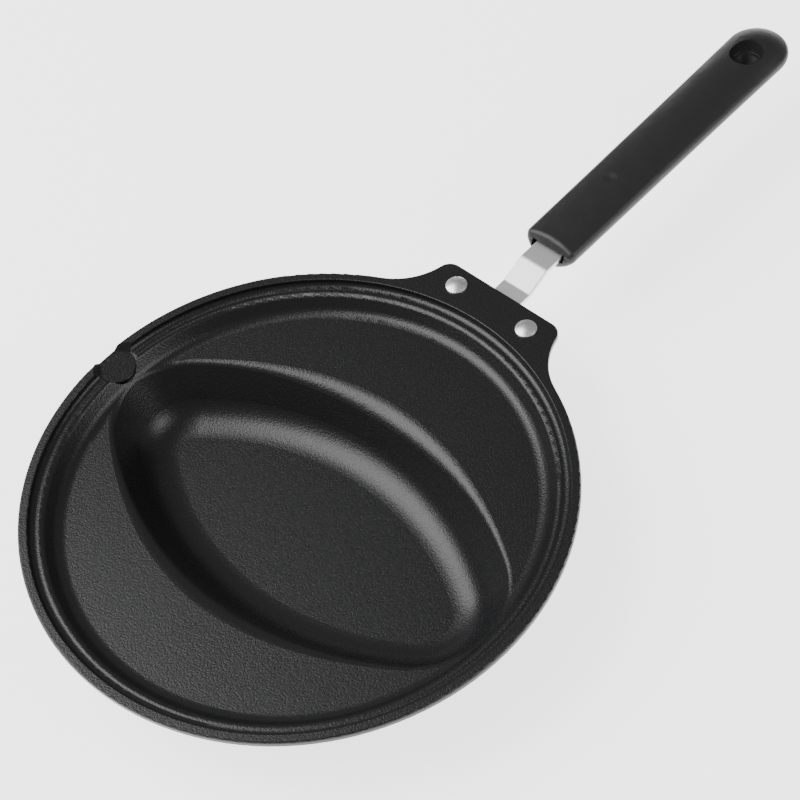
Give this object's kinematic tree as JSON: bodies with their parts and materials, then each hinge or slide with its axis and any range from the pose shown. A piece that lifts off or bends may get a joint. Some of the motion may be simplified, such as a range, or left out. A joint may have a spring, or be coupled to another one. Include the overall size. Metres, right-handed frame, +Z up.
{
  "type": "omelette pan",
  "caption": "Round cast omelette pan with an eye-shaped well across its floor, a stepped rim with a vent notch, and a riveted strap bracket that carries a flat oval grip.",
  "frame": {"origin": "on the standing plane, under the centre of the round rim", "axes": "+Z up from the standing plane, +X from the rim's centre along the handle to the tip of the grip, +Y to the side of the vent notch"},
  "size_m": [0.454, 0.24, 0.0478],
  "materials": {
    "pan_coating": "satin",
    "rivet_aluminium": "satin",
    "bracket_steel": "satin",
    "grip_plastic": "satin",
    "screw_steel": "satin",
    "insert_brass": "satin"
  },
  "bodies": {
    "root": {"pan_body": "pan_coating", "rivet_left": "rivet_aluminium", "rivet_right": "rivet_aluminium", "handle_bracket": "bracket_steel", "handle_grip": "grip_plastic", "grip_screw": "screw_steel", "grip_insert": "insert_brass"}
  },
  "joints": []
}
